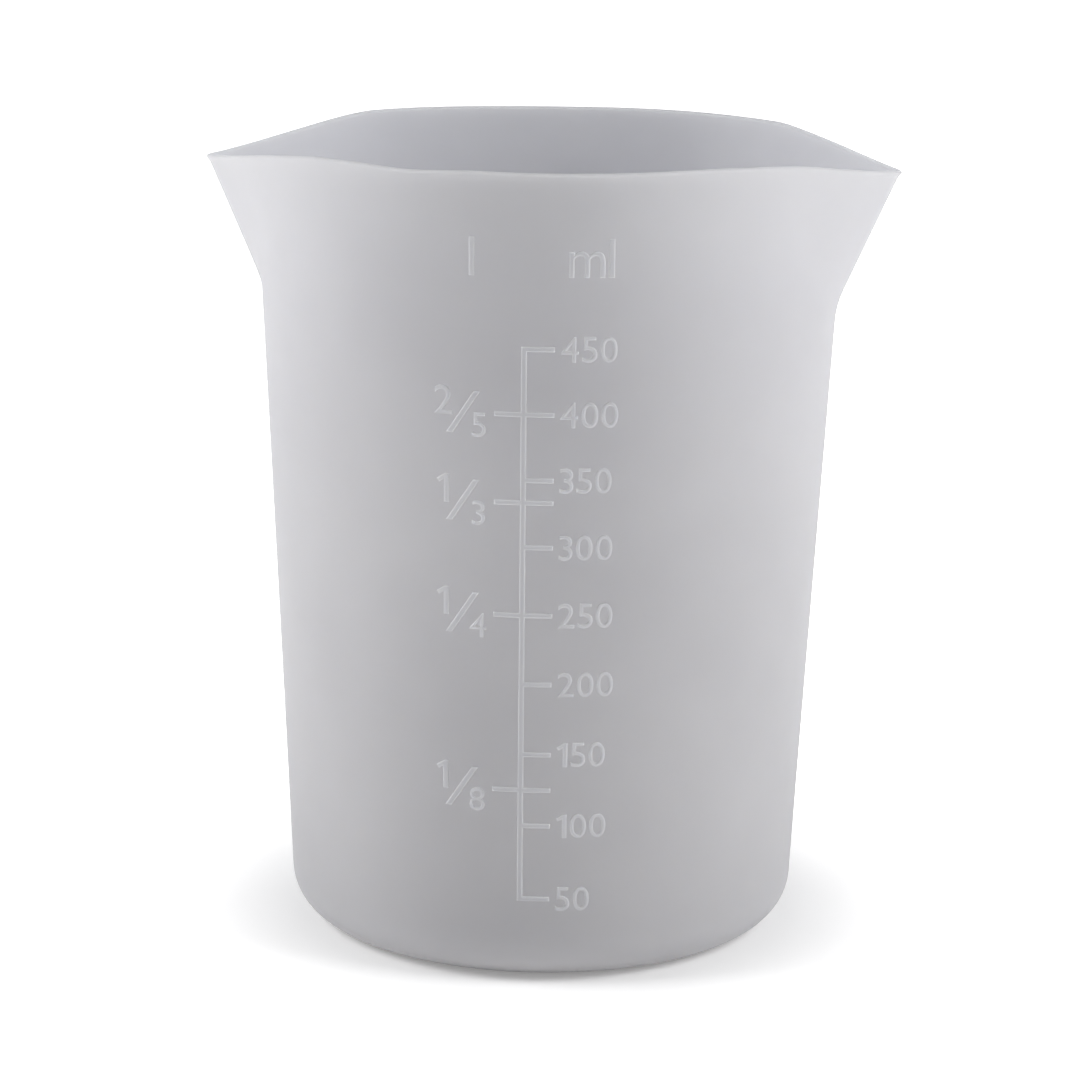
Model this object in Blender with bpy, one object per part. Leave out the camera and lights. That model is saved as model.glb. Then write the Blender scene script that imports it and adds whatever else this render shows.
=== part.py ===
"""Soft silicone measuring cup for mixing resin, with two pouring spouts.

One flexible moulding: a tapered round wall, a flat floor, a spout drawn out of the rim
on each side, and a raised scale on the front. The cup stands on the origin, its spouts
point along +X and -X, and the scale faces -Y. Every length is in metres.
"""
import math

import bmesh
import bpy

# The cup
HEIGHT = 0.123
TIP_TO_TIP = 0.107
BASE_RADIUS = 0.0394      # outside of the wall, carried straight down to the table
RIM_RADIUS = 0.0455
WALL = 0.0032
RIM_WALL = 0.0018         # the wall thins to this between the spouts' feet and the rim
FLOOR = 0.0018
BASE_FILLET = 0.0072
FLOOR_FILLET = 0.005
LIP_CHAMFER = 0.0005

# The spouts
SPOUT_FOOT = 0.0982       # height where a spout's keel leaves the wall
KEEL_BLEND = 0.0012
TIP_DROP = 0.0038         # how far a spout's tip lies below the rim
DROP_ANGLE = math.radians(39.0)
DROP_POWER = 1.25
DROP_ROUNDING = math.radians(3.5)
TIP_ROUNDING = math.radians(1.2)

# The raised scale
RELIEF = 0.0003
SKIN_GAP = 0.0001         # between the wall and the raised marks
LINE_WIDTH = 0.0008
TICK_THICKNESS = 0.0007
RIGHT_TICK_END = 0.0044
LEFT_TICK_END = -0.0042
DIGIT_HEIGHT = 0.00375
DIGIT_GAP = 0.00055
NUMBER_LEFT = 0.0053
NUMBERS_ML = (450, 400, 350, 300, 250, 200, 150, 100, 50)

# The fractions of a litre, left of the scale line
FRACTIONS = ((2, 5), (1, 3), (1, 4), (1, 8))
LITRE_ML = 1000
NUMERATOR_HEIGHT = 0.0043
NUMERATOR_CENTRE = -0.0119
NUMERATOR_FOOT = -0.0005
DENOMINATOR_HEIGHT = 0.0036
DENOMINATOR_CENTRE = -0.0065
DENOMINATOR_FOOT = -0.0036
SLASH_HEIGHT = 0.0062
SLASH_CENTRE = -0.0089

# The unit names above the scale
UNIT_HEIGHT = 0.0056
UNIT_FOOT = 0.1082
UNIT_M_HEIGHT = 0.0038
UNIT_M_WIDTH = 0.0051
UNIT_M_CENTRE = 0.0089
UNIT_ML_L_CENTRE = 0.01245
UNIT_LITRE_CENTRE = -0.0077

# Characters drawn as outlines, one unit high: a flagged figure one and a wide slash
ONE_OUTLINE = ((0.24, 0.0), (0.41, 0.0), (0.41, 1.0), (0.27, 1.0), (0.0, 0.82), (0.07, 0.69), (0.24, 0.8))
SLASH_OUTLINE = ((0.0, 0.0), (0.15, 0.0), (0.8, 1.0), (0.65, 1.0))
OUTLINES = {"1": ONE_OUTLINE, "/": SLASH_OUTLINE}

# Mesh fineness
SEGMENTS = 72
FILLET_STEPS = 5
KNEE_HEIGHTS = (0.0945, 0.0965, 0.0982, 0.1, 0.102)
SPOUT_STEPS = 3
GLYPH_CURVE_STEPS = 2

WALL_TAPER = (RIM_RADIUS - BASE_RADIUS) / HEIGHT
WALL_LEAN = math.atan(WALL_TAPER)
FRONT = -math.pi / 2


def clear_scene():
    for item in list(bpy.data.objects):
        bpy.data.objects.remove(item, do_unlink=True)


def wall_radius(height):
    """Outside radius of the round wall."""
    return BASE_RADIUS + WALL_TAPER * height


TIP_HEIGHT = HEIGHT - TIP_DROP - LIP_CHAMFER
KEEL_SLOPE = (TIP_TO_TIP / 2 - wall_radius(SPOUT_FOOT)) / (TIP_HEIGHT - SPOUT_FOOT)


def keel_reach(height):
    """Distance from the axis to a spout's keel, blended softly into the wall below it."""
    wall = wall_radius(height)
    keel = wall_radius(SPOUT_FOOT) + KEEL_SLOPE * (height - SPOUT_FOOT)
    overlap = max(KEEL_BLEND - abs(keel - wall), 0.0) / KEEL_BLEND
    return max(keel, wall) + overlap * overlap * KEEL_BLEND / 4


def angle_from_spout(angle):
    return math.asin(min(abs(math.sin(angle)), 1.0))


def outline_radius(angle, height, inset=0.0):
    """Plan outline at one height: a circle and its two tangents to each spout's keel."""
    round_wall = wall_radius(height)
    tangent_angle = math.acos(round_wall / keel_reach(height))
    turned = math.hypot(angle_from_spout(angle), TIP_ROUNDING) - TIP_ROUNDING
    before_tangent = max(0.0, tangent_angle - turned)
    return (round_wall - inset) / math.cos(before_tangent)


def lip_height(angle):
    """The rim is level between the spouts and runs down to their tips."""
    turned = math.hypot(angle_from_spout(angle), DROP_ROUNDING) - DROP_ROUNDING
    closeness = max(0.0, 1.0 - turned / DROP_ANGLE)
    return HEIGHT - TIP_DROP * closeness ** DROP_POWER


def fillet_points(bottom, radius, inset):
    """The rounded corner between a flat bottom and the leaning wall, as radius and height."""
    centre_height = bottom + radius
    centre_radius = wall_radius(centre_height) - inset - radius / math.cos(WALL_LEAN)
    points = []
    for step in range(FILLET_STEPS + 1):
        turn = -math.pi / 2 + (math.pi / 2 - WALL_LEAN) * step / FILLET_STEPS
        points.append((centre_radius + radius * math.cos(turn), centre_height + radius * math.sin(turn)))
    return points


def thickness(angle, height):
    """The wall's thickness, full up to the spouts' feet and thinner towards the rim."""
    rise = (height - SPOUT_FOOT) / (lip_height(angle) - SPOUT_FOOT)
    return WALL - (WALL - RIM_WALL) * max(0.0, rise)


def wall_heights(angle):
    """Heights of the wall's rings above its corner, up to just under the lip."""
    shoulder = lip_height(angle) - LIP_CHAMFER
    heights = list(KNEE_HEIGHTS)
    for step in range(1, SPOUT_STEPS + 1):
        heights.append(KNEE_HEIGHTS[-1] + (shoulder - KNEE_HEIGHTS[-1]) * step / SPOUT_STEPS)
    return heights


def lip_points(angle):
    top = lip_height(angle)
    insets = (LIP_CHAMFER, RIM_WALL - LIP_CHAMFER)
    return [(outline_radius(angle, top, inset), top) for inset in insets]


def cup_section(angle):
    """Section from the underside's edge, up the outside, over the lip and down to the floor."""
    heights = wall_heights(angle)
    outside = fillet_points(0.0, BASE_FILLET, 0.0)
    outside += [(outline_radius(angle, height), height) for height in heights]
    inside = fillet_points(FLOOR, FLOOR_FILLET, WALL)
    inside += [(outline_radius(angle, height, thickness(angle, height)), height) for height in heights]
    return outside + lip_points(angle) + inside[::-1]


def add_object(name, mesh_data, material):
    item = bpy.data.objects.new(name, mesh_data)
    item.data.materials.append(material)
    bpy.context.scene.collection.objects.link(item)
    return item


def finish_mesh(shape, name, sharp_degrees):
    """Turn a bmesh into smooth-shaded mesh data whose faces point outwards."""
    bmesh.ops.recalc_face_normals(shape, faces=shape.faces)
    if shape.calc_volume(signed=True) < 0.0:
        bmesh.ops.reverse_faces(shape, faces=shape.faces)
    mesh_data = bpy.data.meshes.new(name)
    shape.to_mesh(mesh_data)
    shape.free()
    mesh_data.shade_smooth()
    mesh_data.set_sharp_from_angle(angle=math.radians(sharp_degrees))
    return mesh_data


def make_cup_body(material):
    shape = bmesh.new()
    columns = []
    for segment in range(SEGMENTS):
        angle = 2 * math.pi * segment / SEGMENTS
        section = cup_section(angle)
        column = [shape.verts.new((r * math.cos(angle), r * math.sin(angle), z)) for r, z in section]
        columns.append(column)
    for segment, column in enumerate(columns):
        following = columns[(segment + 1) % SEGMENTS]
        for row in range(len(column) - 1):
            shape.faces.new((column[row], following[row], following[row + 1], column[row + 1]))
    shape.faces.new([column[0] for column in reversed(columns)])
    shape.faces.new([column[-1] for column in columns])
    return add_object("cup_body", finish_mesh(shape, "cup_body", 40.0), material)


def inside_radius(height):
    """Radius of the round inside, with its rounded corner at the floor."""
    corner_centre = FLOOR + FLOOR_FILLET
    if height > corner_centre - FLOOR_FILLET * math.sin(WALL_LEAN):
        return wall_radius(height) - WALL
    centre_radius = wall_radius(corner_centre) - WALL - FLOOR_FILLET / math.cos(WALL_LEAN)
    return centre_radius + math.sqrt(FLOOR_FILLET ** 2 - (height - corner_centre) ** 2)


def fill_height(millilitres):
    """Height of the surface when the cup holds this much, summed in thin slices."""
    slice_height = 0.00005
    wanted = millilitres * 1e-6
    held = 0.0
    height = FLOOR
    while held < wanted:
        held += math.pi * inside_radius(height + slice_height / 2) ** 2 * slice_height
        height += slice_height
    return height


def on_wall(along, height, lift):
    """A point lifted off the front wall, at an arc length to the right of its centre line."""
    radius = wall_radius(height)
    angle = FRONT + along / radius
    reach = radius + SKIN_GAP + lift
    return (reach * math.cos(angle), reach * math.sin(angle), height)


def raise_on_wall(flat, name):
    """Thicken a flat bmesh, drawn as arc length and height, and wrap it on the wall."""
    bmesh.ops.remove_doubles(flat, verts=flat.verts, dist=0.00001)
    raised = bmesh.ops.extrude_face_region(flat, geom=flat.faces[:])
    outer = {item for item in raised["geom"] if isinstance(item, bmesh.types.BMVert)}
    for vertex in flat.verts:
        lift = RELIEF if vertex in outer else 0.0
        vertex.co = on_wall(vertex.co.x, vertex.co.y, lift)
    return finish_mesh(flat, name, 30.0)


def scale_rectangles():
    """Left, right, bottom and top of the scale line and of each tick across it."""
    half_line = LINE_WIDTH / 2
    half_tick = TICK_THICKNESS / 2
    ticks = [(fill_height(number), -half_line) for number in NUMBERS_ML]
    ticks += [(fill_height(LITRE_ML * top / bottom), LEFT_TICK_END) for top, bottom in FRACTIONS]
    line_bottom = fill_height(NUMBERS_ML[-1]) - half_tick
    line_top = fill_height(NUMBERS_ML[0]) + half_tick
    rectangles = [(-half_line, half_line, line_bottom, line_top)]
    for height, left in ticks:
        rectangles.append((left, RIGHT_TICK_END, height - half_tick, height + half_tick))
    return rectangles


def make_scale_line(material):
    """The upright line with all its ticks, built as one sheet of cells that share corners."""
    rectangles = scale_rectangles()
    middle_right = (LINE_WIDTH / 2 + RIGHT_TICK_END) / 2
    middle_left = (LEFT_TICK_END - LINE_WIDTH / 2) / 2
    across = sorted({edge for box in rectangles for edge in box[:2]} | {middle_right, middle_left})
    upward = sorted({edge for box in rectangles for edge in box[2:]})
    flat = bmesh.new()
    for left, right in zip(across, across[1:]):
        for bottom, top in zip(upward, upward[1:]):
            middle = ((left + right) / 2, (bottom + top) / 2)
            if any(a < middle[0] < b and c < middle[1] < d for a, b, c, d in rectangles):
                corners = ((left, bottom), (right, bottom), (right, top), (left, top))
                flat.faces.new([flat.verts.new((x, y, 0.0)) for x, y in corners])
    return add_object("scale_line", raise_on_wall(flat, "scale_line"), material)


def outline_glyph(corners):
    glyph = bmesh.new()
    glyph.faces.new([glyph.verts.new((x, y, 0.0)) for x, y in corners])
    return glyph


def font_glyph(character):
    """One character of Blender's own font, filled and flat."""
    text = bpy.data.curves.new("glyph", "FONT")
    text.body = character
    text.resolution_u = GLYPH_CURVE_STEPS
    holder = bpy.data.objects.new("glyph", text)
    outline = bpy.data.meshes.new_from_object(holder)
    glyph = bmesh.new()
    glyph.from_mesh(outline)
    bpy.data.objects.remove(holder)
    bpy.data.curves.remove(text)
    bpy.data.meshes.remove(outline)
    return glyph


def flat_glyph(character):
    if character in OUTLINES:
        return outline_glyph(OUTLINES[character])
    return font_glyph(character)


def glyph_extent(glyph):
    """Left, right, bottom and top of a flat glyph."""
    across = [vertex.co.x for vertex in glyph.verts]
    upward = [vertex.co.y for vertex in glyph.verts]
    return min(across), max(across), min(upward), max(upward)


def make_glyph(name, character, centre, foot, height, material, width=None):
    """A raised character, centred at an arc length, standing on a foot height."""
    glyph = flat_glyph(character)
    left, right, bottom, top = glyph_extent(glyph)
    tall = height / (top - bottom)
    wide = width / (right - left) if width else tall
    for vertex in glyph.verts:
        vertex.co.x = centre + (vertex.co.x - (left + right) / 2) * wide
        vertex.co.y = foot + (vertex.co.y - bottom) * tall
    return add_object(name, raise_on_wall(glyph, name), material)


def glyph_width(character, height):
    glyph = flat_glyph(character)
    left, right, bottom, top = glyph_extent(glyph)
    glyph.free()
    return (right - left) * height / (top - bottom)


def make_number(number, material):
    """The digits right of one tick, set side by side."""
    foot = fill_height(number) - DIGIT_HEIGHT / 2
    cursor = NUMBER_LEFT
    for place, character in enumerate(str(number), start=1):
        width = glyph_width(character, DIGIT_HEIGHT)
        name = f"number_{number}_digit_{place}"
        make_glyph(name, character, cursor + width / 2, foot, DIGIT_HEIGHT, material)
        cursor += width + DIGIT_GAP


def make_fraction(top, bottom, material):
    tick = fill_height(LITRE_ML * top / bottom)
    name = f"fraction_{top}_{bottom}"
    make_glyph(f"{name}_numerator", str(top), NUMERATOR_CENTRE, tick + NUMERATOR_FOOT,
               NUMERATOR_HEIGHT, material)
    make_glyph(f"{name}_slash", "/", SLASH_CENTRE, tick - SLASH_HEIGHT / 2, SLASH_HEIGHT, material)
    make_glyph(f"{name}_denominator", str(bottom), DENOMINATOR_CENTRE, tick + DENOMINATOR_FOOT,
               DENOMINATOR_HEIGHT, material)


def make_unit_names(material):
    make_glyph("unit_ml_m", "m", UNIT_M_CENTRE, UNIT_FOOT, UNIT_M_HEIGHT, material, UNIT_M_WIDTH)
    make_glyph("unit_ml_l", "l", UNIT_ML_L_CENTRE, UNIT_FOOT, UNIT_HEIGHT, material)
    make_glyph("unit_litre_l", "l", UNIT_LITRE_CENTRE, UNIT_FOOT, UNIT_HEIGHT, material)


def silicone(name, colour, roughness):
    material = bpy.data.materials.new(name)
    material.use_nodes = True
    shader = material.node_tree.nodes["Principled BSDF"]
    shader.inputs["Base Color"].default_value = (*colour, 1.0)
    shader.inputs["Roughness"].default_value = roughness
    shader.inputs["Metallic"].default_value = 0.0
    return material


def build():
    clear_scene()
    body_silicone = silicone("milky_silicone", (0.58, 0.58, 0.61), 0.45)
    mark_silicone = silicone("raised_mark_silicone", (0.66, 0.66, 0.69), 0.4)
    make_cup_body(body_silicone)
    make_scale_line(mark_silicone)
    for number in NUMBERS_ML:
        make_number(number, mark_silicone)
    for top, bottom in FRACTIONS:
        make_fraction(top, bottom, mark_silicone)
    make_unit_names(mark_silicone)


build()
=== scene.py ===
"""Looks of the milky silicone measuring cup: fine meshes, materials, floor, light and camera."""
import math

import bmesh
import bpy
from mathutils import Matrix, Vector


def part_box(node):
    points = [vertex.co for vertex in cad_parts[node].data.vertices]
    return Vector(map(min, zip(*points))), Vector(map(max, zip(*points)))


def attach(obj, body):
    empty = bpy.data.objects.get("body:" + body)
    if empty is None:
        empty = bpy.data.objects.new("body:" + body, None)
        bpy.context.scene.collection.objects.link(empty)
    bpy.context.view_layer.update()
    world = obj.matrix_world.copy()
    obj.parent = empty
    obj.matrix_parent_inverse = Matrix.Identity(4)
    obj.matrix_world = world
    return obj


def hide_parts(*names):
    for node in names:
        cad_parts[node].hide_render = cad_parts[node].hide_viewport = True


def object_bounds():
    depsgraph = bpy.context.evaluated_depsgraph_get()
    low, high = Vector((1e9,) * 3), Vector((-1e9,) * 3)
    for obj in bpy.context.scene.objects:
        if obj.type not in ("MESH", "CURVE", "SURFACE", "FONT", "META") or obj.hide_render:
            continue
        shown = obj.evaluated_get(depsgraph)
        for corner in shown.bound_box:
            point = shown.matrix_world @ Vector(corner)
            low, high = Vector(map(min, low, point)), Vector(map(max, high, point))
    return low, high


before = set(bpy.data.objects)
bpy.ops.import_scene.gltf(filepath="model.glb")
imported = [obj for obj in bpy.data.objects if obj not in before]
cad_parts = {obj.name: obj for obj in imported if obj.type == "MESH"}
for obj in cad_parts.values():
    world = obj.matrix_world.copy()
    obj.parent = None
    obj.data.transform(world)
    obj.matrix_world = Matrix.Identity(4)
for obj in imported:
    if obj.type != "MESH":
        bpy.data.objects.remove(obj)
CAD_LOW, CAD_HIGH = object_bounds()
CUP_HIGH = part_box("cup_body")[1]

MM = 0.001

# The cup, in metres
HEIGHT = CUP_HIGH.z
TIP_REACH = CUP_HIGH.x
RIM_RADIUS = CUP_HIGH.y
BASE_RADIUS = 0.866 * RIM_RADIUS
WALL = 3.2 * MM
RIM_WALL = 1.8 * MM
FLOOR = 1.8 * MM
BASE_FILLET = 7.2 * MM
FLOOR_FILLET = 5.0 * MM
LIP_ROUND = 0.4 * MM
SPOUT_FOOT = 0.7985 * HEIGHT
TIP_DROP = 0.031 * HEIGHT
RIGHT_DROP_ANGLE = math.radians(37.0)
LEFT_DROP_ANGLE = math.radians(41.0)
DROP_POWER = 1.25
DROP_ROUNDING = math.radians(3.5)
TIP_ROUNDING = math.radians(1.2)
TIP_BEAD = 0.25 * MM
BEAD_DEPTH = 0.8 * MM
BEAD_ANGLE = math.radians(14.0)
RIGHT_KNEE_BLEND = 1.0 * MM
LEFT_KNEE_BLEND = 0.8 * MM

# Unevenness of the soft moulding; each dip in the lip has its angle and its depth
OVAL_DRIFT = 0.12 * MM
OVAL_START = 0.6
RIPPLE_DRIFT = 0.06 * MM
RIPPLE_START = 5.2
RIPPLE_TWIST = 3
LIP_DRIFT = 0.07 * MM
LIP_START = 0.8
LIP_DIPS = ((math.radians(-113.0), 0.38 * MM), (math.radians(-40.0), 0.3 * MM))
DIP_SPREAD = math.radians(14.0)

# Mesh fineness
SEGMENTS = 288
CAP_RINGS = 8
TIP_CLUSTER = 0.35
FILLET_STEPS = 14
WALL_STEPS = 12
KNEE_STEPS = 14
SPOUT_STEPS = 12
LIP_STEPS = 5
KNEE_LOW = 0.76 * HEIGHT
KNEE_HIGH = 0.84 * HEIGHT
CUP_CREASE = math.radians(60.0)
MARK_CREASE = math.radians(50.0)

# Raised marks
RELIEF = 0.3 * MM
EMBED = 0.35 * MM
MARK_BEVEL = 0.16 * MM
MARK_BEVEL_STEPS = 3
MARK_SLICE = 0.5 * MM
MARK_MERGE = 0.001 * MM
MARK_CURVE_STEPS = 6
NUMBERS_ML = (450, 400, 350, 300, 250, 200, 150, 100, 50)
FRACTIONS = ("2_5", "1_3", "1_4", "1_8")
ONE_OUTLINE = ((0.24, 0.0), (0.41, 0.0), (0.41, 1.0), (0.27, 1.0), (0.0, 0.82), (0.07, 0.69), (0.24, 0.8))
SLASH_OUTLINE = ((0.0, 0.0), (0.15, 0.0), (0.8, 1.0), (0.65, 1.0))
OUTLINES = {"1": ONE_OUTLINE, "/": SLASH_OUTLINE}
LINE_WIDTH = 0.8 * MM
TICK_THICKNESS = 0.7 * MM

# Silicone: the two colours that its clouds vary between, and how far light scatters in it
BODY_DIM = (0.555, 0.548, 0.565)
BODY_PALE = (0.595, 0.588, 0.605)
BODY_SCATTER = 9.0 * MM
# The raised marks are the same silicone as the body; their paler colours are painted lightening, standing
# in for the light that the raised marks catch.
MARK_PAINTED_LIGHTER_DIM = (0.6, 0.598, 0.615)
MARK_PAINTED_LIGHTER_PALE = (0.64, 0.638, 0.655)
MARK_SCATTER = 0.6 * MM
SCATTER_TINT = (0.94, 0.97, 1.04)
SILICONE_IOR = 1.41
SILICONE_SHINE = 0.28
SILICONE_ROUGHNESS = (0.5, 0.6)
WAVE_DEPTH = 0.4 * MM
WAVE_STRENGTH = 0.12
GRAIN_DEPTH = 0.03 * MM
GRAIN_STRENGTH = 0.25

# The span of a noise's values over which a colour or a roughness changes
NOISE_LOW = 0.3
NOISE_HIGH = 0.7

# Camera
CAMERA_AZIMUTH = math.radians(4.5)
CAMERA_ELEVATION = math.radians(12.91)
CAMERA_DISTANCE = 0.5546
CAMERA_ROLL = math.radians(0.8)
CAMERA_LENS = 117.7
CAMERA_SENSOR = 36.0
CAMERA_NEAR = 10.0 * MM
AIM_LEFT = 0.98 * MM
AIM_DOWN = 1.8 * MM

# Light: the floor's own glow grows away from the cup, and more so to the eye. The sky brightens
# from the front to the back.
TABLE_SIZE = 6.0
TABLE_DIM = (0.88, 0.88, 0.88)
TABLE_PALE = (0.9, 0.9, 0.9)
TABLE_ROUGHNESS = (0.7, 0.8)
GLOW_COLOUR = (1.0, 0.99, 0.975)
NEAR_GLOW = 0.12
FAR_GLOW = 0.52
GLOW_REACH = (0.045, 0.14)
SEEN_GLOW = 0.8
SEEN_REACH = (0.03, 0.08)
SKY_COLOUR = (0.93, 0.97, 1.05)
FRONT_SKY = 0.055
BACK_SKY = 0.27
SKY_TURN = (-0.9, 0.6)
SOFTBOX_SIZE = 0.3
LEFT_SOFTBOX_PLACE = (-0.5, -0.12, 0.42)
LEFT_SOFTBOX_POWER = 2.15
RIGHT_SOFTBOX_PLACE = (0.5, -0.12, 0.42)
RIGHT_SOFTBOX_POWER = 2.1

WALL_TAPER = (RIM_RADIUS - BASE_RADIUS) / HEIGHT
WALL_LEAN = math.atan(WALL_TAPER)
FRONT = -math.pi / 2


def wall_radius(height):
    return BASE_RADIUS + WALL_TAPER * height


TIP_HEIGHT = HEIGHT - TIP_DROP - LIP_ROUND
KEEL_SLOPE = (TIP_REACH - TIP_BEAD - wall_radius(SPOUT_FOOT)) / (TIP_HEIGHT - SPOUT_FOOT)


def ease(share):
    """A smooth step from 0 to 1."""
    share = min(max(share, 0.0), 1.0)
    return share * share * (3.0 - 2.0 * share)


def keel_reach(angle, height):
    """Distance from the axis to the keel of the spout on this side."""
    blend = RIGHT_KNEE_BLEND if math.cos(angle) > 0.0 else LEFT_KNEE_BLEND
    wall = wall_radius(height)
    keel = wall_radius(SPOUT_FOOT) + KEEL_SLOPE * (height - SPOUT_FOOT)
    overlap = max(blend - abs(keel - wall), 0.0) / blend
    return max(keel, wall) + overlap * overlap * blend / 4


def angle_from_spout(angle):
    return math.asin(min(abs(math.sin(angle)), 1.0))


def soft_drift(angle, height):
    """How far the soft wall strays from a true cone."""
    rise = height / HEIGHT
    oval = OVAL_DRIFT * math.sin(2 * angle + OVAL_START) * rise ** 2
    return oval + RIPPLE_DRIFT * math.sin(5 * angle + RIPPLE_START + RIPPLE_TWIST * rise) * rise


def outline_radius(angle, height, inset):
    """Plan outline at one height: a circle and its two tangents to each spout's keel."""
    round_wall = wall_radius(height)
    tangent_angle = math.acos(round_wall / keel_reach(angle, height))
    turned = math.hypot(angle_from_spout(angle), TIP_ROUNDING) - TIP_ROUNDING
    before_tangent = max(0.0, tangent_angle - turned)
    return (round_wall - inset) / math.cos(before_tangent) + soft_drift(angle, height)


def lip_unevenness(angle):
    """How far the soft rim strays from level: a slight wave, and a shallow dip beside each spout."""
    height = LIP_DRIFT * math.sin(6 * angle + LIP_START)
    for middle, depth in LIP_DIPS:
        distance = abs(math.remainder(angle - middle, 2 * math.pi))
        height -= depth * ease(1.0 - distance / DIP_SPREAD)
    return height


def lip_height(angle):
    """The rim is level between the spouts and runs down to their tips."""
    drop_angle = RIGHT_DROP_ANGLE if math.cos(angle) > 0.0 else LEFT_DROP_ANGLE
    turned = math.hypot(angle_from_spout(angle), DROP_ROUNDING) - DROP_ROUNDING
    closeness = max(0.0, 1.0 - turned / drop_angle)
    return HEIGHT - TIP_DROP * closeness ** DROP_POWER + lip_unevenness(angle)


def bead(angle, below_shoulder):
    """The thin bead that the mould leaves at the spouts' tips."""
    near_tip = ease(1.0 - angle_from_spout(angle) / BEAD_ANGLE)
    return TIP_BEAD * near_tip * ease(1.0 - below_shoulder / BEAD_DEPTH)


def spread(low, high, steps):
    """Even steps from low, which is left out, to high."""
    return [low + (high - low) * step / steps for step in range(1, steps + 1)]


def fillet_points(bottom, radius, inset):
    """The rounded corner between a flat bottom and the leaning wall, as radius and height."""
    centre_height = bottom + radius
    centre_radius = wall_radius(centre_height) - inset - radius / math.cos(WALL_LEAN)
    turns = [-math.pi / 2] + spread(-math.pi / 2, -WALL_LEAN, FILLET_STEPS)
    return [(centre_radius + radius * math.cos(t), centre_height + radius * math.sin(t)) for t in turns]


def thickness(angle, height):
    """The wall's thickness, full up to the spouts' feet and thinner towards the rim."""
    rise = (height - SPOUT_FOOT) / (lip_height(angle) - SPOUT_FOOT)
    return WALL - (WALL - RIM_WALL) * max(0.0, rise)


def wall_heights(angle, start):
    """Heights of the mesh's rows up the wall, closer together where the spouts begin."""
    shoulder = lip_height(angle) - LIP_ROUND
    heights = spread(start, KNEE_LOW, WALL_STEPS)
    heights += spread(KNEE_LOW, KNEE_HIGH, KNEE_STEPS)
    heights += spread(KNEE_HIGH, shoulder - BEAD_DEPTH, SPOUT_STEPS)
    return heights + spread(shoulder - BEAD_DEPTH, shoulder, LIP_STEPS)


def lip_points(angle):
    """The rounded lip, from the outside over to the inside."""
    shoulder = lip_height(angle) - LIP_ROUND
    outer = outline_radius(angle, shoulder, LIP_ROUND) + bead(angle, 0.0)
    inner = outline_radius(angle, shoulder, RIM_WALL - LIP_ROUND)
    turns = spread(0.0, math.pi / 2, LIP_STEPS)
    over = [(outer + LIP_ROUND * math.cos(t), shoulder + LIP_ROUND * math.sin(t)) for t in turns]
    down = [(inner - LIP_ROUND * math.cos(t), shoulder + LIP_ROUND * math.sin(t)) for t in turns]
    return over + down[::-1]


def cup_section(angle):
    """Section from the underside's edge, up the outside, over the lip and down to the floor."""
    shoulder = lip_height(angle) - LIP_ROUND
    outside = fillet_points(0.0, BASE_FILLET, 0.0)
    for height in wall_heights(angle, outside[-1][1]):
        outside.append((outline_radius(angle, height, 0.0) + bead(angle, shoulder - height), height))
    inside = fillet_points(FLOOR, FLOOR_FILLET, WALL)
    for height in wall_heights(angle, inside[-1][1]):
        inside.append((outline_radius(angle, height, thickness(angle, height)), height))
    return outside + lip_points(angle) + inside[::-1]


def new_piece(name, mesh_data, material):
    piece = bpy.data.objects.new(name, mesh_data)
    mesh_data.materials.append(material)
    bpy.context.scene.collection.objects.link(piece)
    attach(piece, "root")
    return piece


def finish_mesh(shape, name, crease):
    """Turn a bmesh into smooth-shaded mesh data whose faces point outwards."""
    bmesh.ops.recalc_face_normals(shape, faces=shape.faces)
    if shape.calc_volume(signed=True) < 0.0:
        bmesh.ops.reverse_faces(shape, faces=shape.faces)
    mesh_data = bpy.data.meshes.new(name)
    shape.to_mesh(mesh_data)
    shape.free()
    mesh_data.shade_smooth()
    mesh_data.set_sharp_from_angle(angle=crease)
    return mesh_data


def cap_disc(shape, ring):
    """Close a round hole with rings of quads that shrink to a middle point."""
    height = ring[0].co.z
    outer = ring
    for step in range(1, CAP_RINGS):
        share = 1.0 - step / CAP_RINGS
        inner = [shape.verts.new((v.co.x * share, v.co.y * share, height)) for v in ring]
        for index, vertex in enumerate(outer):
            following = (index + 1) % len(outer)
            shape.faces.new((vertex, outer[following], inner[following], inner[index]))
        outer = inner
    middle = shape.verts.new((0.0, 0.0, height))
    for index, vertex in enumerate(outer):
        shape.faces.new((vertex, outer[(index + 1) % len(outer)], middle))


def make_cup(material):
    shape = bmesh.new()
    columns = []
    for segment in range(SEGMENTS):
        turn = 2 * math.pi * segment / SEGMENTS
        angle = turn - TIP_CLUSTER * math.sin(2 * turn)
        section = cup_section(angle)
        column = [shape.verts.new((r * math.cos(angle), r * math.sin(angle), z)) for r, z in section]
        columns.append(column)
    for segment, column in enumerate(columns):
        following = columns[(segment + 1) % SEGMENTS]
        for row in range(len(column) - 1):
            shape.faces.new((column[row], following[row], following[row + 1], column[row + 1]))
    cap_disc(shape, [column[0] for column in columns])
    cap_disc(shape, [column[-1] for column in columns])
    mesh_data = finish_mesh(shape, "silicone_cup", CUP_CREASE)
    cup = new_piece("silicone_cup", mesh_data, material)
    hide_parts("cup_body")


def on_wall(along, height, lift):
    """A point off the front wall, at an arc length to the right of its centre line."""
    radius = wall_radius(height)
    angle = FRONT + along / radius
    reach = radius + soft_drift(angle, height) + lift
    return (reach * math.cos(angle), reach * math.sin(angle), height)


def along_wall(x, height):
    """The arc length at which a raised mark's corner lies."""
    radius = wall_radius(height)
    return radius * math.asin(x / (radius + RELIEF))


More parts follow.
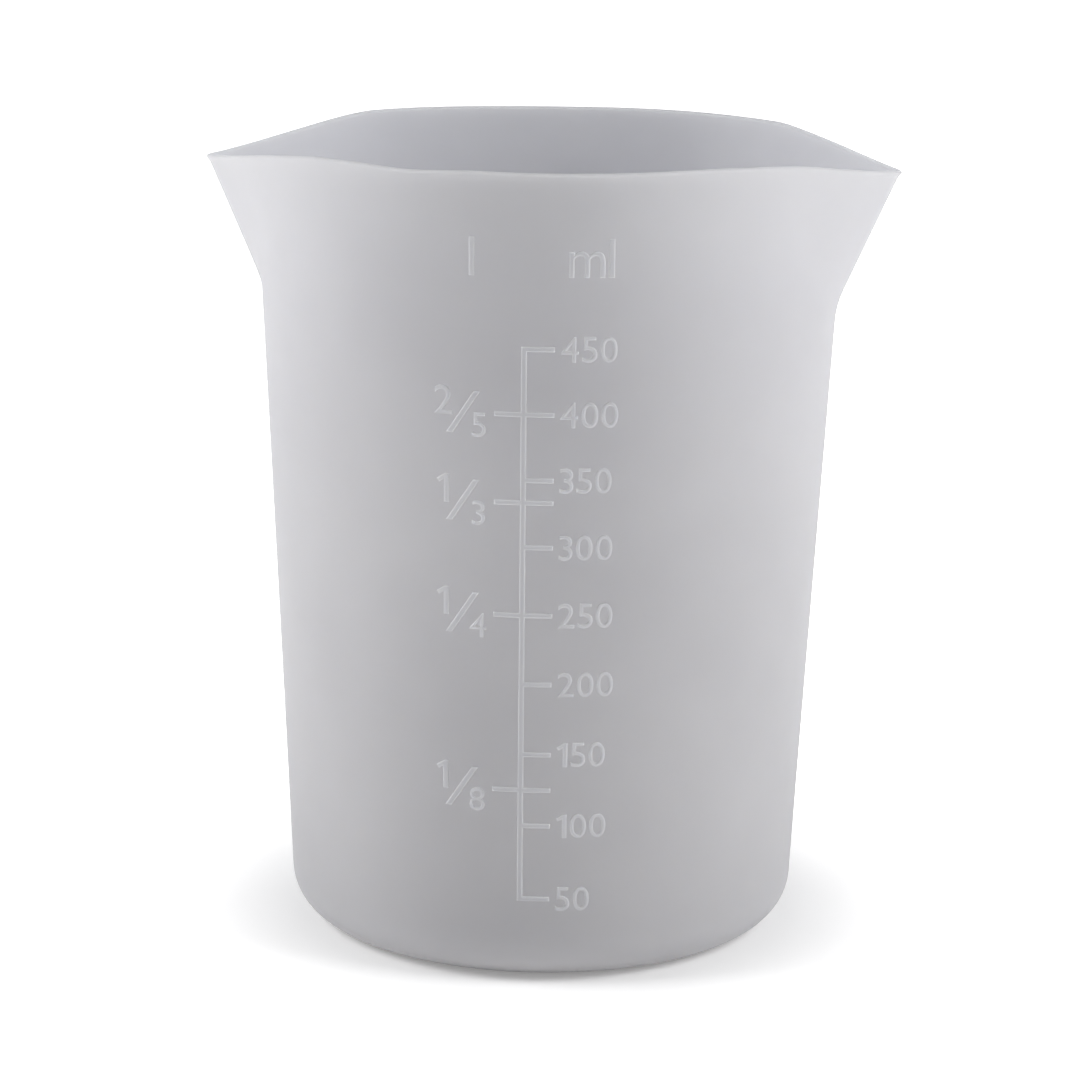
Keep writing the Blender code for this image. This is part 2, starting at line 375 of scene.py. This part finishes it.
def bevelled_mesh(curve):
    """A flat outline or character, drawn in millimetres, as a mesh with soft edges."""
    curve.extrude = (RELIEF + EMBED) / 2 / MM - MARK_BEVEL / MM
    curve.bevel_depth = MARK_BEVEL / MM
    curve.offset = -MARK_BEVEL / MM
    curve.bevel_resolution = MARK_BEVEL_STEPS
    holder = bpy.data.objects.new("mark", curve)
    solid = bpy.data.meshes.new_from_object(holder)
    shape = bmesh.new()
    shape.from_mesh(solid)
    bpy.data.objects.remove(holder)
    bpy.data.curves.remove(curve)
    bpy.data.meshes.remove(solid)
    bmesh.ops.remove_doubles(shape, verts=shape.verts, dist=MARK_MERGE / MM)
    return shape


def outline_curve(corners):
    curve = bpy.data.curves.new("outline", "CURVE")
    curve.dimensions = "2D"
    curve.fill_mode = "BOTH"
    spline = curve.splines.new("POLY")
    spline.points.add(len(corners) - 1)
    for point, (x, y) in zip(spline.points, corners):
        point.co = (x, y, 0.0, 1.0)
    spline.use_cyclic_u = True
    return curve


def character_curve(character, height):
    """The curve of a character, at a given height in millimetres."""
    if character in OUTLINES:
        corners = OUTLINES[character]
        return outline_curve([(x * height, y * height) for x, y in corners])
    text = bpy.data.curves.new("character", "FONT")
    text.body = character
    text.resolution_u = MARK_CURVE_STEPS
    holder = bpy.data.objects.new("character", text)
    flat = bpy.data.meshes.new_from_object(holder)
    tall = max(v.co.y for v in flat.vertices) - min(v.co.y for v in flat.vertices)
    bpy.data.objects.remove(holder)
    bpy.data.meshes.remove(flat)
    text.size = height / tall
    return text


def slice_across(shape):
    """Cut a flat mark into upright strips, so that it can follow the round wall."""
    across = [v.co.x for v in shape.verts]
    step = MARK_SLICE / MM
    position = math.ceil(min(across) / step) * step
    while position < max(across):
        everything = shape.verts[:] + shape.edges[:] + shape.faces[:]
        bmesh.ops.bisect_plane(shape, geom=everything, plane_co=(position, 0, 0), plane_no=(1, 0, 0))
        position += step


def wrap(shape, along_shift, height_shift):
    """Scale a flat mark to metres and bend it onto the wall."""
    middle_lift = RELIEF - (RELIEF + EMBED) / 2
    for vertex in shape.verts:
        along = vertex.co.x * MM + along_shift
        height = vertex.co.y * MM + height_shift
        vertex.co = on_wall(along, height, vertex.co.z * MM + middle_lift)


def raised_character(character, node):
    """One raised character, filling the place of its CAD solid."""
    low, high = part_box(node)
    middle = (low.z + high.z) / 2
    left = along_wall(low.x, middle)
    right = along_wall(high.x, middle)
    shape = bevelled_mesh(character_curve(character, (high.z - low.z) / MM))
    across = [v.co.x for v in shape.verts]
    upward = [v.co.y for v in shape.verts]
    widen = (right - left) / MM / (max(across) - min(across))
    bmesh.ops.scale(shape, vec=(widen, 1.0, 1.0), verts=shape.verts)
    slice_across(shape)
    along_shift = (left + right) / 2 - (min(across) + max(across)) / 2 * widen * MM
    height_shift = middle - (min(upward) + max(upward)) / 2 * MM
    wrap(shape, along_shift, height_shift)
    return shape


def join_shapes(shapes):
    joined = bmesh.new()
    for shape in shapes:
        part = bpy.data.meshes.new("part")
        shape.to_mesh(part)
        shape.free()
        joined.from_mesh(part)
        bpy.data.meshes.remove(part)
    return joined


def new_mark(name, shape, material):
    """A raised mark, which lets light through to the wall it is moulded on."""
    piece = new_piece(name, finish_mesh(shape, name, MARK_CREASE), material)
    piece.visible_shadow = False
    piece.visible_diffuse = False
    return piece


def make_marks(name, characters, nodes, material):
    shape = join_shapes([raised_character(c, node) for c, node in zip(characters, nodes)])
    piece = new_mark(name, shape, material)
    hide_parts(*nodes)


def make_numbers(material):
    for number in NUMBERS_ML:
        digits = str(number)
        nodes = [f"number_{number}_digit_{place}" for place in range(1, len(digits) + 1)]
        make_marks(f"number_{number}", digits, nodes, material)


def make_fractions(material):
    for fraction in FRACTIONS:
        top, bottom = fraction.split("_")
        nodes = [f"fraction_{fraction}_{role}" for role in ("numerator", "slash", "denominator")]
        make_marks(f"fraction_{fraction}", top + "/" + bottom, nodes, material)


def make_unit_names(material):
    make_marks("unit_ml", "ml", ["unit_ml_m", "unit_ml_l"], material)
    make_marks("unit_litre", "l", ["unit_litre_l"], material)


def middle_height(node):
    low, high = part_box(node)
    return (low.z + high.z) / 2


def scale_outline():
    """The comb-shaped outline of the scale line and its ticks, in millimetres."""
    low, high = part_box("scale_line")
    half_line = LINE_WIDTH / 2
    half_tick = TICK_THICKNESS / 2
    number_heights = [middle_height(f"number_{number}_digit_2") for number in NUMBERS_ML]
    slash_heights = [middle_height(f"fraction_{fraction}_slash") for fraction in FRACTIONS]
    right_heights = number_heights[:]
    for height in slash_heights:
        if min(abs(height - other) for other in number_heights) > TICK_THICKNESS:
            right_heights.append(height)
    right = along_wall(high.x, middle_height("number_300_digit_1"))
    left = along_wall(low.x, middle_height("number_300_digit_1"))
    corners = []
    for height in sorted(right_heights):
        corners += [(half_line, height - half_tick), (right, height - half_tick)]
        corners += [(right, height + half_tick), (half_line, height + half_tick)]
    # The top and bottom ticks end flush with the line, so their outer corners there fall away.
    corners.pop()
    corners.pop(0)
    corners.append((-half_line, max(number_heights) + half_tick))
    for height in sorted(slash_heights, reverse=True):
        corners += [(-half_line, height + half_tick), (left, height + half_tick)]
        corners += [(left, height - half_tick), (-half_line, height - half_tick)]
    corners.append((-half_line, min(number_heights) - half_tick))
    return [(x / MM, y / MM) for x, y in corners]


def make_scale_line(material):
    shape = bevelled_mesh(outline_curve(scale_outline()))
    slice_across(shape)
    wrap(shape, 0.0, 0.0)
    piece = new_mark("scale_relief", shape, material)
    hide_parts("scale_line")


def new_material(name):
    material = bpy.data.materials.new(name)
    material.use_nodes = True
    return material, material.node_tree, material.node_tree.nodes["Principled BSDF"]


def add_noise(tree, scale, detail, roughness):
    """Noise fixed to the object; its scale is in cells per metre."""
    place = tree.nodes.new("ShaderNodeTexCoord")
    noise = tree.nodes.new("ShaderNodeTexNoise")
    noise.inputs["Scale"].default_value = scale
    noise.inputs["Detail"].default_value = detail
    noise.inputs["Roughness"].default_value = roughness
    tree.links.new(place.outputs["Object"], noise.inputs["Vector"])
    return noise.outputs["Fac"]


def add_ramp(tree, factor, low_colour, high_colour):
    ramp = tree.nodes.new("ShaderNodeValToRGB")
    ramp.color_ramp.elements[0].position = NOISE_LOW
    ramp.color_ramp.elements[0].color = (*low_colour, 1.0)
    ramp.color_ramp.elements[1].position = NOISE_HIGH
    ramp.color_ramp.elements[1].color = (*high_colour, 1.0)
    tree.links.new(factor, ramp.inputs["Fac"])
    return ramp.outputs["Color"]


def add_range(tree, factor, low, high, start=NOISE_LOW, end=NOISE_HIGH):
    """Turn factor's run from start to end into a run from low to high."""
    span = tree.nodes.new("ShaderNodeMapRange")
    span.inputs["From Min"].default_value = start
    span.inputs["From Max"].default_value = end
    span.inputs["To Min"].default_value = low
    span.inputs["To Max"].default_value = high
    tree.links.new(factor, span.inputs["Value"])
    return span.outputs["Result"]


def add_bump(tree, height, distance, strength, before=None):
    bump = tree.nodes.new("ShaderNodeBump")
    bump.inputs["Distance"].default_value = distance
    bump.inputs["Strength"].default_value = strength
    tree.links.new(height, bump.inputs["Height"])
    if before is not None:
        tree.links.new(before, bump.inputs["Normal"])
    return bump.outputs["Normal"]


def milky_silicone(name, dim, pale, scatter):
    """Cloudy translucent silicone, slightly wavy and with a fine grain."""
    material, tree, shader = new_material(name)
    clouds = add_noise(tree, scale=28.0, detail=3.0, roughness=0.5)
    tree.links.new(add_ramp(tree, clouds, dim, pale), shader.inputs["Base Color"])
    haze = add_noise(tree, scale=90.0, detail=4.0, roughness=0.6)
    tree.links.new(add_range(tree, haze, *SILICONE_ROUGHNESS), shader.inputs["Roughness"])
    waves = add_noise(tree, scale=60.0, detail=2.0, roughness=0.4)
    wavy = add_bump(tree, waves, WAVE_DEPTH, WAVE_STRENGTH)
    grain = add_noise(tree, scale=1400.0, detail=3.0, roughness=0.6)
    grainy = add_bump(tree, grain, GRAIN_DEPTH, GRAIN_STRENGTH, before=wavy)
    tree.links.new(grainy, shader.inputs["Normal"])
    shader.inputs["Specular IOR Level"].default_value = SILICONE_SHINE
    shader.inputs["IOR"].default_value = SILICONE_IOR
    shader.inputs["Subsurface Weight"].default_value = 1.0
    shader.inputs["Subsurface Radius"].default_value = SCATTER_TINT
    shader.inputs["Subsurface Scale"].default_value = scatter
    return material


def light_table():
    """White acrylic that glows from below, least under the cup, and more to the eye than as light."""
    material, tree, shader = new_material("light_table")
    haze = add_noise(tree, scale=40.0, detail=2.0, roughness=0.5)
    tree.links.new(add_ramp(tree, haze, TABLE_DIM, TABLE_PALE), shader.inputs["Base Color"])
    tree.links.new(add_range(tree, haze, *TABLE_ROUGHNESS), shader.inputs["Roughness"])
    place = tree.nodes.new("ShaderNodeTexCoord")
    reach = tree.nodes.new("ShaderNodeVectorMath")
    reach.operation = "LENGTH"
    tree.links.new(place.outputs["Object"], reach.inputs[0])
    glow = add_range(tree, reach.outputs["Value"], NEAR_GLOW, FAR_GLOW, *GLOW_REACH)
    seen = add_range(tree, reach.outputs["Value"], 0.0, SEEN_GLOW, *SEEN_REACH)
    path = tree.nodes.new("ShaderNodeLightPath")
    total = tree.nodes.new("ShaderNodeMath")
    total.operation = "MULTIPLY_ADD"
    tree.links.new(path.outputs["Is Camera Ray"], total.inputs[0])
    tree.links.new(seen, total.inputs[1])
    tree.links.new(glow, total.inputs[2])
    tree.links.new(total.outputs["Value"], shader.inputs["Emission Strength"])
    shader.inputs["Emission Color"].default_value = (*GLOW_COLOUR, 1.0)
    return material


def make_floor():
    half = TABLE_SIZE / 2
    shape = bmesh.new()
    corners = ((-half, -half), (half, -half), (half, half), (-half, half))
    shape.faces.new([shape.verts.new((x, y, CAD_LOW.z)) for x, y in corners])
    mesh_data = bpy.data.meshes.new("floor")
    shape.to_mesh(mesh_data)
    shape.free()
    mesh_data.materials.append(light_table())
    floor = bpy.data.objects.new("floor", mesh_data)
    bpy.context.scene.collection.objects.link(floor)


def make_world():
    """Even white to the eye; as light, dim in front of the cup and bright behind it."""
    world = bpy.data.worlds.new("studio")
    bpy.context.scene.world = world
    world.use_nodes = True
    tree = world.node_tree
    tree.nodes.clear()
    place = tree.nodes.new("ShaderNodeTexCoord")
    split = tree.nodes.new("ShaderNodeSeparateXYZ")
    tree.links.new(place.outputs["Generated"], split.inputs["Vector"])
    strength = add_range(tree, split.outputs["Y"], FRONT_SKY, BACK_SKY, *SKY_TURN)
    strength.node.interpolation_type = "SMOOTHSTEP"
    lighting = tree.nodes.new("ShaderNodeBackground")
    tree.links.new(strength, lighting.inputs["Strength"])
    lighting.inputs["Color"].default_value = (*SKY_COLOUR, 1.0)
    seen = tree.nodes.new("ShaderNodeBackground")
    seen.inputs["Color"].default_value = (1.0, 1.0, 1.0, 1.0)
    path = tree.nodes.new("ShaderNodeLightPath")
    mix = tree.nodes.new("ShaderNodeMixShader")
    tree.links.new(path.outputs["Is Camera Ray"], mix.inputs["Fac"])
    tree.links.new(lighting.outputs["Background"], mix.inputs[1])
    tree.links.new(seen.outputs["Background"], mix.inputs[2])
    output = tree.nodes.new("ShaderNodeOutputWorld")
    tree.links.new(mix.outputs["Shader"], output.inputs["Surface"])


def make_softbox(name, place, power):
    """A square softbox that faces the cup's middle."""
    light = bpy.data.lights.new(name, "AREA")
    light.shape = "SQUARE"
    light.size = SOFTBOX_SIZE
    light.energy = power
    holder = bpy.data.objects.new(name, light)
    holder.location = place
    middle = Vector((0.0, 0.0, HEIGHT / 2))
    holder.rotation_euler = (middle - Vector(place)).to_track_quat("-Z", "Y").to_euler()
    bpy.context.scene.collection.objects.link(holder)


def make_camera():
    """A camera slightly to the right of the cup's front, looking down at its middle."""
    azimuth, elevation = CAMERA_AZIMUTH, CAMERA_ELEVATION
    back = Vector((math.sin(azimuth) * math.cos(elevation), -math.cos(azimuth) * math.cos(elevation),
                   math.sin(elevation)))
    right = Vector((math.cos(azimuth), math.sin(azimuth), 0.0))
    up = back.cross(right)
    middle = Vector((0.0, 0.0, HEIGHT / 2))
    place = middle + back * CAMERA_DISTANCE
    aim = middle - right * AIM_LEFT - up * AIM_DOWN
    data = bpy.data.cameras.new("camera")
    data.lens = CAMERA_LENS
    data.sensor_width = CAMERA_SENSOR
    data.clip_start = CAMERA_NEAR
    camera = bpy.data.objects.new("camera", data)
    facing = (aim - place).to_track_quat("-Z", "Y").to_matrix().to_4x4()
    camera.matrix_world = Matrix.Translation(place) @ facing @ Matrix.Rotation(CAMERA_ROLL, 4, "Z")
    bpy.context.scene.collection.objects.link(camera)
    bpy.context.scene.camera = camera


body_silicone = milky_silicone("milky_silicone", BODY_DIM, BODY_PALE, BODY_SCATTER)
# The marks get a paler copy of the silicone: painted lightening for the light they catch.
mark_silicone = milky_silicone("raised_mark_silicone", MARK_PAINTED_LIGHTER_DIM, MARK_PAINTED_LIGHTER_PALE, MARK_SCATTER)
make_cup(body_silicone)
make_scale_line(mark_silicone)
make_numbers(mark_silicone)
make_fractions(mark_silicone)
make_unit_names(mark_silicone)
make_floor()
make_world()
make_softbox("left_softbox", LEFT_SOFTBOX_PLACE, LEFT_SOFTBOX_POWER)
make_softbox("right_softbox", RIGHT_SOFTBOX_PLACE, RIGHT_SOFTBOX_POWER)
make_camera()
bpy.context.scene.view_settings.view_transform = "Standard"
